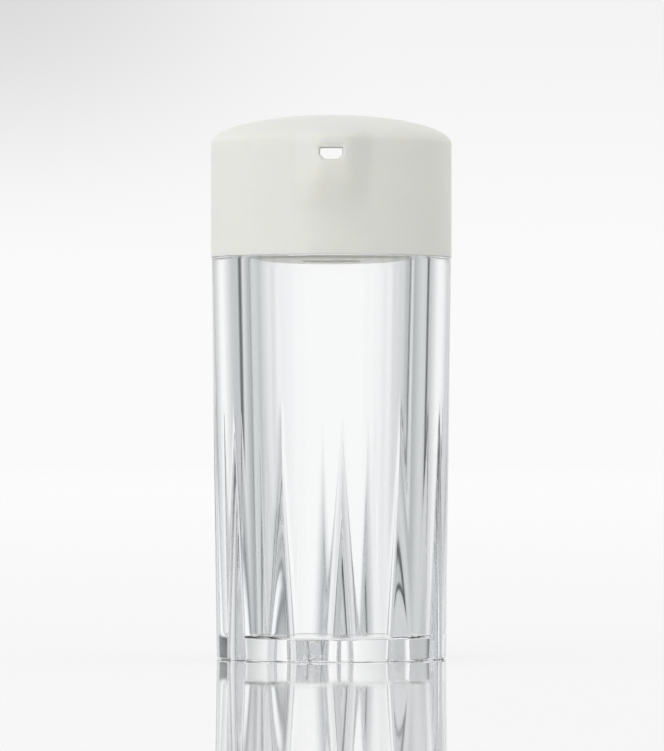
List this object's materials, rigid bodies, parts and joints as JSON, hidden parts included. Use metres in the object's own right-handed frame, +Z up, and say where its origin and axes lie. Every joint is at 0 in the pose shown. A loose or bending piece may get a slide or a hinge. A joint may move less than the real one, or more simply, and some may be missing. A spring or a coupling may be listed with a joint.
{
  "type": "oil bottle",
  "caption": "Clear thick-walled fluted oil bottle on a flat base, closed by a domed off-white screw cap with a soft beak, a pouring slot and a rear air vent.",
  "frame": {"origin": "centre of the vessel's flat base, on the bottle's axis", "axes": "+Z up along the bottle's axis, the beak and pouring slot face -Y, +X to the right seen from the front"},
  "size_m": [0.07, 0.0755, 0.158],
  "materials": {
    "clear_glass": "clear polished",
    "cap_plastic": "fine satin",
    "silicone": "matte translucent white"
  },
  "bodies": {
    "bottle": {"vessel": "clear_glass"},
    "stopper": {"pour_insert": "cap_plastic", "lower_seal_ring": "silicone", "upper_seal_ring": "silicone"},
    "gasket": {"cap_gasket": "silicone"},
    "cap": {"cap_shell": "cap_plastic"}
  },
  "joints": [
    {"name": "closure_lift", "type": "slide", "parent": "bottle", "child": "stopper", "axis": [0, 0, 1], "range_m": [0, 0.06]},
    {"name": "cap_rise", "type": "slide", "parent": "stopper", "child": "gasket", "axis": [0, 0, 1], "range_m": [0, 0.005]},
    {"name": "cap_turn", "type": "hinge", "parent": "gasket", "child": "cap", "pos_m": [0, 0, 0.13], "axis": [0, 0, 1], "range_deg": [0, 450]}
  ],
  "couplings": [
    {"joint": "cap_rise", "follows": "cap_turn", "m_per_rad": 0.00063662}
  ]
}
